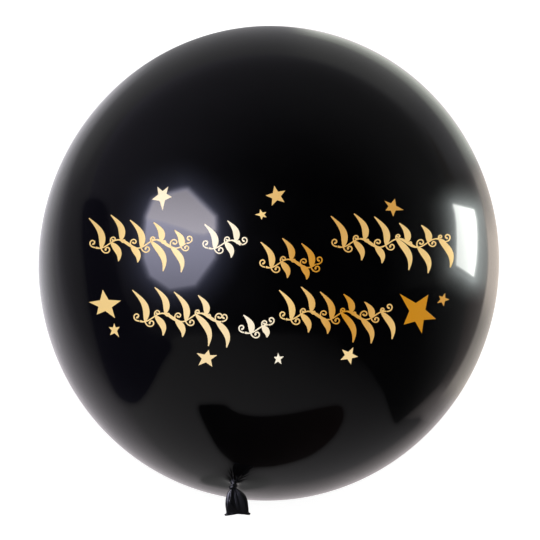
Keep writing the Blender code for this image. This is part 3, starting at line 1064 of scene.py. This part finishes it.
def makeFloor():
    # what the camera sees, pale, lit and a little self-lit, and below it what the skin mirrors
    r = studio["floorRadius"]
    count = 96
    turn = onceRound(count)
    seen, mirrored = (np.stack([r * np.cos(turn), r * np.sin(turn), np.full(count, height)], -1)
                      for height in studio["floorHeights"])
    disc = [tuple(range(count))]
    material, tree = newMaterial("paleFloor")
    matt = addNode(tree, "BsdfDiffuse", {"Color": fromHex(studio["floorColour"])})
    glow = addNode(tree, "Emission", {"Color": fromHex("#FFFFFF"), "Strength": studio["floorGlow"]})
    both = addNode(tree, "AddShader", {0: matt.outputs["BSDF"], 1: glow.outputs["Emission"]})
    addNode(tree, "OutputMaterial", {"Surface": both.outputs["Shader"]})
    stageMesh("floor", seen, disc, material, camera=True, matt=True)

    material, tree = newMaterial("mirroredFloor")
    place = addNode(tree, "TexCoord").outputs["Object"]
    centre = (*studio["mirrorCentre"], 0.0)
    away = addNode(tree, "VectorMath", {0: place, 1: centre}, operation="DISTANCE")
    level = rampAlong(tree, away.outputs["Value"], studio["floorLevels"])
    x = addNode(tree, "SeparateXYZ", {"Vector": place}).outputs["X"]
    (left, right), side = studio["floorLean"], studio["leanReach"]
    spread = {"Value": x, "From Min": -side, "From Max": side, "To Min": left, "To Max": right}
    lean = addNode(tree, "MapRange", spread).outputs["Result"]
    leant = addNode(tree, "Math", {0: level, 1: lean}, operation="MULTIPLY")
    tint = tintAlong(tree, x, studio["floorTints"], -side, side)
    glow = addNode(tree, "Emission", {"Color": tint, "Strength": leant.outputs["Value"]})
    addNode(tree, "OutputMaterial", {"Surface": glow.outputs["Emission"]})
    stageMesh("mirroredFloor", mirrored, disc, material, glossy=True)


def makeBackdrop():
    # half a sphere round the floor, for the camera alone
    r = studio["floorRadius"]
    rows, columns = 23, 72
    rise = np.linspace(0, math.pi / 2, rows + 1)[:-1, None]
    turn = onceRound(columns)
    out = r * np.cos(rise)
    rings = np.stack(np.broadcast_arrays(out * np.cos(turn), out * np.sin(turn), r * np.sin(rise)), -1)
    vertices = np.concatenate([rings.reshape(-1, 3), [[0, 0, r]]])
    quads = gridQuads(rows, columns, False)[:, ::-1].tolist()
    fan = fanFaces((rows - 1) * columns, columns, rows * columns).tolist()
    material, tree = newMaterial("paleBackdrop")
    glow = addNode(tree, "Emission", {"Color": fromHex("#FFFFFF"), "Strength": 1.0})
    addNode(tree, "OutputMaterial", {"Surface": glow.outputs["Emission"]})
    stageMesh("backdrop", vertices, quads + fan, material, camera=True)


def makeFill():
    # a broad light by the camera, kept out of the mirror skin
    light = bpy.data.lights.new("fill", "AREA")
    light.shape = "DISK"
    light.size = studio["fillSize"]
    light.energy = studio["fillPower"]
    lamp = putInScene("fill", light)
    lamp.matrix_world = facingAsCamera(middle + camBack * studio["fillDistance"])
    lamp.visible_glossy = False
    lamp.visible_camera = False


def makeWorld():
    # the dark room past the lights for the mirror skin, and plain soft light for matt surfaces
    world = bpy.data.worlds.new("room")
    world.use_nodes = True
    tree = world.node_tree
    tree.nodes.clear()
    place = addNode(tree, "TexCoord").outputs["Generated"]
    towards = addNode(tree, "VectorMath", {0: place, 1: tuple(camBack)}, operation="DOT_PRODUCT")
    sideways = addNode(tree, "VectorMath", {0: place, 1: tuple(-camRight)}, operation="DOT_PRODUCT")
    left = sideways.outputs["Value"]
    angle = addNode(tree, "Math", {0: towards.outputs["Value"]}, operation="ARCCOSINE")
    turned = {0: angle.outputs["Value"], 1: 180 / math.pi}
    degrees = addNode(tree, "Math", turned, operation="MULTIPLY").outputs["Value"]
    level = rampAlong(tree, degrees, studio["roomLevels"])
    leaning = {0: left, 1: studio["roomLean"], 2: level}
    lean = addNode(tree, "Math", leaning, operation="MULTIPLY_ADD").outputs["Value"]
    lit = addNode(tree, "Math", {0: lean, 1: studio["roomDarkest"]}, operation="MAXIMUM")
    tint = tintAlong(tree, left, studio["roomTints"], 1.0, -1.0)
    isMatt = addNode(tree, "LightPath").outputs["Is Diffuse Ray"]
    levels = {"Factor": isMatt, "A": lit.outputs["Value"], "B": studio["ambient"]}
    strength = addNode(tree, "Mix", levels, data_type="FLOAT").outputs["Result"]
    tints = {"Factor": isMatt, "A": tint, "B": fromHex("#FFFFFF")}
    colour = addNode(tree, "Mix", tints, data_type="RGBA").outputs["Result"]
    shade = addNode(tree, "Background", {"Strength": strength, "Color": colour})
    addNode(tree, "OutputWorld", {"Surface": shade.outputs["Background"]})
    scene.world = world


makeFloor()
makeBackdrop()
for name, pane in panes.items():
    makePane(name, pane)
for name, rim in rims.items():
    makeRim(name, rim)
makeFill()
makeWorld()
scene.view_settings.view_transform = "Standard"
print("studio lit")
